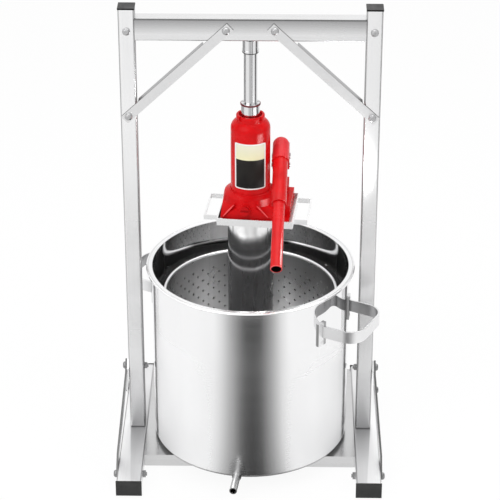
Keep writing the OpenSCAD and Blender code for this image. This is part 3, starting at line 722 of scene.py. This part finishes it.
# ---------------------------------------------------------------- perforated basket
def screen_cell(width, height, hole):
    """One flat cell of the screen, with or without its round hole."""
    start_fresh()
    bpy.ops.mesh.primitive_plane_add(size=1.0, location=(0, 0, 0))
    part = bpy.context.object
    part.scale = (width, height, 1)
    bpy.ops.object.transform_apply(location=False, rotation=False, scale=True)
    edit(part)
    bpy.ops.mesh.subdivide(number_cuts=1)
    leave_edit()
    if hole:
        for vertex in part.data.vertices:
            vertex.select = vertex.co.length < width * 0.1
        for edge in part.data.edges:
            edge.select = False
        for face in part.data.polygons:
            face.select = False
        bpy.ops.object.mode_set(mode="EDIT")
        bpy.ops.mesh.bevel(offset=HOLE_R, offset_type="OFFSET", segments=2, profile=0.5, affect="VERTICES")
        leave_edit()
        edit_faces(part, lambda face: all(part.data.vertices[i].co.xy.length < HOLE_R * 1.6 for i in face.vertices))
        bpy.ops.mesh.select_mode(type="FACE")
        bpy.ops.mesh.delete(type="ONLY_FACE")
        bpy.ops.mesh.select_mode(type="VERT")
        leave_edit()
    return part


def repeat(part, count, step):
    array = part.modifiers.new("repeat", "ARRAY")
    array.count = count
    array.use_relative_offset = False
    array.use_constant_offset = True
    array.constant_offset_displace = step
    apply_stack(part)


def perforated_wall():
    """A strip of straight and shifted columns of cells, repeated and then rolled round the axis."""
    wide = math.tau * BASKET_R / (2 * HOLE_PAIRS)
    straight = screen_cell(wide, HOLE_PITCH, True)
    straight.location = (wide / 2, HOLE_PITCH / 2, 0)
    repeat(straight, HOLE_ROWS, (0, HOLE_PITCH, 0))
    shifted = screen_cell(wide, HOLE_PITCH, True)
    shifted.location = (wide * 1.5, HOLE_PITCH, 0)
    repeat(shifted, HOLE_ROWS - 1, (0, HOLE_PITCH, 0))
    ends = []
    for place in (HOLE_PITCH / 4, HOLE_PITCH * (HOLE_ROWS - 0.25)):
        half = screen_cell(wide, HOLE_PITCH / 2, False)
        half.location = (wide * 1.5, place, 0)
        ends.append(half)
    sheet = join([straight, shifted] + ends)
    settle()
    repeat(sheet, HOLE_PAIRS, (2 * wide, 0, 0))
    for vertex in sheet.data.vertices:
        turn = vertex.co.x / BASKET_R
        vertex.co = (BASKET_R * math.sin(turn), -BASKET_R * math.cos(turn), SCREEN_LOW + vertex.co.y)
    sheet.data.update()
    return sheet


def plain_band(low, high):
    """The plain part of the basket's wall below or above the holes."""
    start_fresh()
    bpy.ops.mesh.primitive_circle_add(vertices=4 * HOLE_PAIRS, radius=BASKET_R, location=(0, 0, low),
                                      rotation=(0, 0, -math.pi / 2))
    reflection_band = bpy.context.object
    settle()
    edit(reflection_band)
    bpy.ops.mesh.extrude_region_move(TRANSFORM_OT_translate={"value": (0, 0, high - low)})
    leave_edit()
    return reflection_band


def basket_floor():
    start_fresh()
    bpy.ops.mesh.primitive_cylinder_add(vertices=4 * HOLE_PAIRS, radius=FLOOR_R, depth=FLOOR_SHEET,
                                        location=(0, 0, BASKET_FLOOR + FLOOR_SHEET / 2))
    floor = bpy.context.object
    edit_faces(floor, lambda face: face.normal.z > 0.9)
    bpy.ops.mesh.inset(thickness=FLOOR_EDGE)
    bpy.ops.transform.translate(value=(0, 0, -FLOOR_DISH))
    leave_edit()
    return floor


def basket_foot(turn):
    start_fresh()
    x, y = BASKET_FOOT_OUT * math.cos(turn), BASKET_FOOT_OUT * math.sin(turn)
    bpy.ops.mesh.primitive_cylinder_add(vertices=32, radius=BASKET_FOOT_R, depth=BASKET_FOOT_H,
                                        location=(x, y, BASKET_FLOOR - BASKET_FOOT_H / 2))
    foot = bpy.context.object
    edit(foot)
    bpy.ops.mesh.bevel(offset=BASKET_FOOT_ROUND, segments=2, affect="EDGES")
    leave_edit()
    return foot


def perforated_basket():
    wall = perforated_wall()
    below = plain_band(BASKET_FLOOR, SCREEN_LOW)
    above = plain_band(SCREEN_TOP, BASKET_RIM - BEAD_R)
    shell = join([wall, below, above])
    close_up(shell, 0.0002)
    sheet = shell.modifiers.new("sheet", "SOLIDIFY")
    sheet.thickness = SCREEN_SHEET
    sheet.offset = -1.0
    apply_stack(shell)
    bead = spun_ring(BASKET_R, BEAD_R, 1.0, 4 * HOLE_PAIRS, 12, (0, 0, BASKET_RIM - BEAD_R))
    floor = basket_floor()
    feet = [basket_foot(math.radians(45 + 90 * quarter)) for quarter in range(4)]
    whole = join([shell, floor] + feet)
    keep(whole, "perforated_basket", SCREEN, "frame", 35)
    keep(bead, "basket_bead", BEAD, "frame")
    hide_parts("basket")


# ---------------------------------------------------------------- rings, lips and seals
def ring_piece(name, finish, body, radius, tube, middle, axis=(0, 0, 1), high=1.0, steps=64, sides=10):
    keep(spun_ring(radius, tube, high, steps, sides, middle, axis), name, finish, body)


def jack_rings():
    ring_piece("gland_seal", SEAL, "press_stack", 0.0158, 0.0008, (0, 0, 0.5926))
    ring_piece("tank_foot_fillet", RED, "press_stack", 0.0322, 0.0013, (0, 0, 0.4703))
    pump = LEVER_FRAME @ Vector((0.0, -0.0035, 0.4915))
    ring_piece("pump_packing_ring", RED_DEEP, "press_stack", 0.0087, 0.0018, pump, high=0.7)


def lever_rings():
    # the lever's end lip takes the paler red: a painted highlight
    for name, finish, radius, tube, along in (("lever_hood_lip", RED_LEVER, 0.0129, 0.0010, HOOD_END),
                                              ("upper_tube_lip", RED_LEVER, 0.0112, 0.0009, UPPER_END),
                                              ("lever_end_lip", RED_HIGHLIGHT, 0.0086, 0.0008, LEVER_END)):
        ring_piece(name, finish, "lever", radius, tube, lever_point(along), LEVER_WAY)
    across = LEVER_FRAME.to_3x3() @ Vector((1.0, 0.0, 0.0))
    clips = []
    for y, z, radius in PINS:
        for side in (-1, 1):
            spot = LEVER_FRAME @ Vector((side * PIN_SIDE, y, z))
            clips.append(spun_ring(radius, 0.0007, 1.0, 28, 8, spot, across))
    keep(join(clips), "lever_pin_clips", ZINC, "lever")


def socket_ring():
    ring_piece("socket_seal", RUBBER, "frame", 0.0119, 0.0011, (0, 0, SOCKET_SEAL_Z))


def pot_rings():
    ring_piece("pot_rim_roll", RIM, "frame", RIM_ROLL_R, 0.0021, (0, 0, RIM_ROLL_Z), steps=160,
               sides=12)
    way = Vector((-math.sin(SPOUT_TURN), -math.cos(SPOUT_TURN), 0.0))
    end = way * SPOUT_END + Vector((0, 0, SPOUT_Z))
    ring_piece("spout_lip", SPOUT, "frame", 0.0053, 0.0010, end, way)


# ---------------------------------------------------------------- moulded caps
def moulded_block(size, middle, round_off, hollow):
    """A block with round edges and a shallow tray in its outer face, which points along hollow."""
    start_fresh()
    bpy.ops.mesh.primitive_cube_add(size=1.0, location=middle)
    part = bpy.context.object
    part.scale = size
    settle()
    edit(part)
    bpy.ops.mesh.bevel(offset=round_off, segments=3, profile=0.6, affect="EDGES")
    leave_edit()
    widest = max(face.area for face in part.data.polygons if face.normal.dot(hollow) > 0.99)
    edit_faces(part, lambda face: face.normal.dot(hollow) > 0.99 and face.area > 0.9 * widest)
    bpy.ops.mesh.inset(thickness=CAP_BORDER)
    bpy.ops.mesh.inset(thickness=CAP_STEP)
    bpy.ops.transform.translate(value=hollow * -CAP_DIP)
    leave_edit()
    return part


def moulded_caps():
    up = Vector((0, 0, 1))
    feet, tops = [], []
    for side in (-1, 1):
        for end, y in FOOT_ENDS:
            out = Vector((0, end, 0))
            plug_y = y - end * FOOT_PLUG_IN
            feet.append(moulded_block(FOOT_CAP_LIP, (side * FOOT_X, y, FOOT_Z), LIP_ROUND, out))
            feet.append(moulded_block(FOOT_CAP_PLUG, (side * FOOT_X, plug_y, FOOT_Z), PLUG_ROUND, -out))
        tops.append(moulded_block(TOP_CAP_LIP, (side * POST_X, 0, TOP_LIP_Z), TOP_ROUND, up))
        tops.append(moulded_block(TOP_CAP_PLUG, (side * POST_X, 0, TOP_PLUG_Z), PLUG_ROUND, -up))
    foot_caps = keep(join(feet), "foot_cap_mouldings", CAP, "frame")
    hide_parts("foot_caps")
    post_caps = keep(join(tops), "post_cap_mouldings", TOP_CAP, "frame")
    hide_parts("post_caps")


# ---------------------------------------------------------------- spot welds on the pot's handles
def spot_weld(spot, out):
    """A shallow dimple with a raised edge, pressed into sheet."""
    start_fresh()
    bpy.ops.mesh.primitive_circle_add(vertices=20, radius=SPOT_WELD_R, fill_type="NGON", location=(0, 0, 0))
    part = bpy.context.object
    edit(part)
    for inset, lift in ((0.0006, 0.0004), (0.0008, -0.0003)):
        bpy.ops.mesh.inset(thickness=inset)
        bpy.ops.transform.translate(value=(0, 0, lift))
    leave_edit()
    part.matrix_world = Matrix.Translation(spot) @ turned_to(out)
    return part


def handle_welds():
    dots = []
    for handle in (HANDLE_TURN, HANDLE_TURN + math.pi):
        for side in (-1, 1):
            turn = handle + side * math.asin(TAB_SIDE / TAB_R)
            out = Vector((math.cos(turn), math.sin(turn), 0.0))
            for z in SPOT_WELD_ROWS:
                dots.append(spot_weld(out * (TAB_R + 0.00002) + Vector((0, 0, z)), out))
    keep(join(dots), "handle_spot_welds", RIM, "frame")


# ---------------------------------------------------------------- ribs of the jack's base
def rib_edge(low, high):
    """A rounded bead along one rib of the base, thinning to its ends."""
    start_fresh()
    bpy.ops.mesh.primitive_uv_sphere_add(segments=12, ring_count=16, radius=1.0, location=(0, 0, 0))
    part = bpy.context.object
    edit(part)
    bpy.ops.transform.resize(value=(RIB_BEAD_R, RIB_BEAD_R, (high - low).length / 2))
    leave_edit()
    part.matrix_world = Matrix.Translation((low + high) / 2) @ turned_to(high - low)
    return part


def base_rib_edges():
    yaw = Matrix.Rotation(JACK_YAW, 4, "Z")

    def on_slope(x, up):
        """A point just proud of the base's sloped front."""
        return yaw @ Vector((x, BASE_FRONT + up * math.sin(BASE_LEAN) - RIB_PROUD * math.cos(BASE_LEAN),
                             BASE_LOW + up * math.cos(BASE_LEAN) + RIB_PROUD * math.sin(BASE_LEAN)))

    beads = []
    for x, tilt in ((-0.0206, math.radians(41)), (0.0150, math.radians(-46))):
        foot = on_slope(x - RIB_RUN * math.sin(tilt), RIB_RISE - RIB_RUN * math.cos(tilt))
        beads.append(rib_edge(foot, on_slope(x, RIB_RISE)))
    # painted highlight: the beads carry the paler red along the ribs
    keep(join(beads), "base_rib_edges", RED_HIGHLIGHT, "press_stack")


# ---------------------------------------------------------------- stage
def light_path(nodes):
    """1 for what the eye, a mirror or glass sees, 0 for what lights a surface."""
    path = nodes.add("ShaderNodeLightPath").outputs
    return nodes.most(nodes.most(path["Is Camera Ray"], path["Is Glossy Ray"]), path["Is Transmission Ray"])


def white_surround():
    world = bpy.data.worlds.new("white_surround")
    world.use_nodes = True
    bpy.context.scene.world = world
    world.node_tree.nodes.clear()
    nodes = Nodes(world.node_tree)
    lit = nodes.add("ShaderNodeBackground", Color=WHITE, Strength=0.55).outputs[0]
    seen = nodes.add("ShaderNodeBackground", Color=WHITE, Strength=1.0).outputs[0]
    nodes.add("ShaderNodeOutputWorld", Surface=nodes.mix_shaders(light_path(nodes), lit, seen))


def bare_nodes(thing):
    """An empty node material of the thing's own name, on it."""
    mat = bpy.data.materials.new(thing.name)
    mat.use_nodes = True
    mat.node_tree.nodes.clear()
    thing.data.materials.append(mat)
    return Nodes(mat.node_tree)


def pale_floor():
    start_fresh()
    bpy.ops.mesh.primitive_plane_add(size=14, location=(0, 0, -0.0003))
    floor = bpy.context.object
    floor.name = "pale_floor"
    nodes = bare_nodes(floor)
    matt = nodes.add("ShaderNodeBsdfDiffuse", Color=grey(0.97)).outputs[0]
    glow = nodes.mix_shaders(nodes.times(light_path(nodes), 0.92), matt, nodes.emission(WHITE))
    nodes.add("ShaderNodeOutputMaterial", Surface=glow)


def glossy_only(thing):
    """Leaves a card or a lamp to be seen by glossy surfaces alone."""
    thing.visible_camera = thing.visible_diffuse = thing.visible_transmission = False
    thing.visible_volume_scatter = False


def stage_card(name, middle, turn, width, height):
    start_fresh()
    bpy.ops.mesh.primitive_plane_add(size=1.0, location=middle, rotation=turn)
    card = bpy.context.object
    card.scale = (width, height, 1)
    settle()
    card.name = name
    glossy_only(card)
    card.visible_shadow = False
    return card


def dark_flag():
    """A dark card on the floor before the press: only polished metal sees it, as the band down the pot."""
    card = stage_card("dark_flag", (0, -0.56, 0.0004), (0, 0, 0), 1.3, 0.90)
    nodes = bare_nodes(card)
    x, y, _ = nodes.axes()
    edge = nodes.most(nodes.plus(nodes.times(y, -0.42), -0.012), 0.05)
    off = nodes.size(nodes.plus(x, nodes.times(y, 0.05)))
    across = nodes.times(nodes.maths("DIVIDE", off, edge), 0.5)
    reflection_band = nodes.ramp(across, (0.0, grey(0.05)), (0.175, grey(0.08)), (0.45, grey(0.40)), (0.725, grey(0.80)),
                      (1.0, WHITE))
    tone = nodes.blend(nodes.rise(y, -0.77, -0.81), reflection_band, WHITE)
    nodes.add("ShaderNodeOutputMaterial", Surface=nodes.emission(tone))


def side_card(name, turn, width, glow):
    """An upright card that only glossy surfaces see, for the dark lines along the rod and the ram."""
    turn = math.radians(turn)
    middle = Vector((CARD_AWAY * math.sin(turn), -CARD_AWAY * math.cos(turn), (CARD_LOW + CARD_HIGH) / 2))
    card = stage_card(name, middle, (math.pi / 2, 0, turn), width, CARD_HIGH - CARD_LOW)
    nodes = bare_nodes(card)
    nodes.add("ShaderNodeOutputMaterial", Surface=nodes.emission(WHITE, glow))


def soft_lamp(name, at, aim, size, power):
    lamp = bpy.data.lights.new(name, "AREA")
    lamp.shape = "DISK"
    lamp.size = size
    lamp.energy = power
    holder = bpy.data.objects.new(name, lamp)
    holder.location = at
    holder.rotation_euler = (Vector(aim) - Vector(at)).to_track_quat("-Z", "Y").to_euler()
    bpy.context.scene.collection.objects.link(holder)
    return holder


def jack_gleam():
    """A small lamp that only glossy surfaces see: the gleam down the right of the jack and its lever."""
    holder = soft_lamp("jack_gleam", (0.156, -0.109, 0.478), (0, 0, 0.478), 0.095, 0.40)
    holder.data.shape = "RECTANGLE"
    holder.data.size_y = 0.055
    glossy_only(holder)


def light_studio():
    white_surround()
    pale_floor()
    dark_flag()
    side_card("front_flag", 27, 0.20, 0.12)
    side_card("right_flag", 92, 0.50, 0.16)
    side_card("left_flag", -128, 0.42, 0.16)
    soft_lamp("left_softbox", (-1.7, -1.9, 2.5), (0, 0, 0.35), 2.8, 42)
    soft_lamp("right_softbox", (2.1, -1.2, 1.9), (0, 0, 0.35), 2.2, 20).visible_glossy = False
    soft_lamp("top_softbox", (0.2, 0.6, 2.9), (0, 0, 0.3), 2.6, 26)
    jack_gleam()
    bpy.context.scene.view_settings.view_transform = "Standard"


# ---------------------------------------------------------------- assembly
set_camera()
dress_solids()
perforated_basket()
jack_rings()
lever_rings()
socket_ring()
pot_rings()
moulded_caps()
handle_welds()
base_rib_edges()
light_studio()
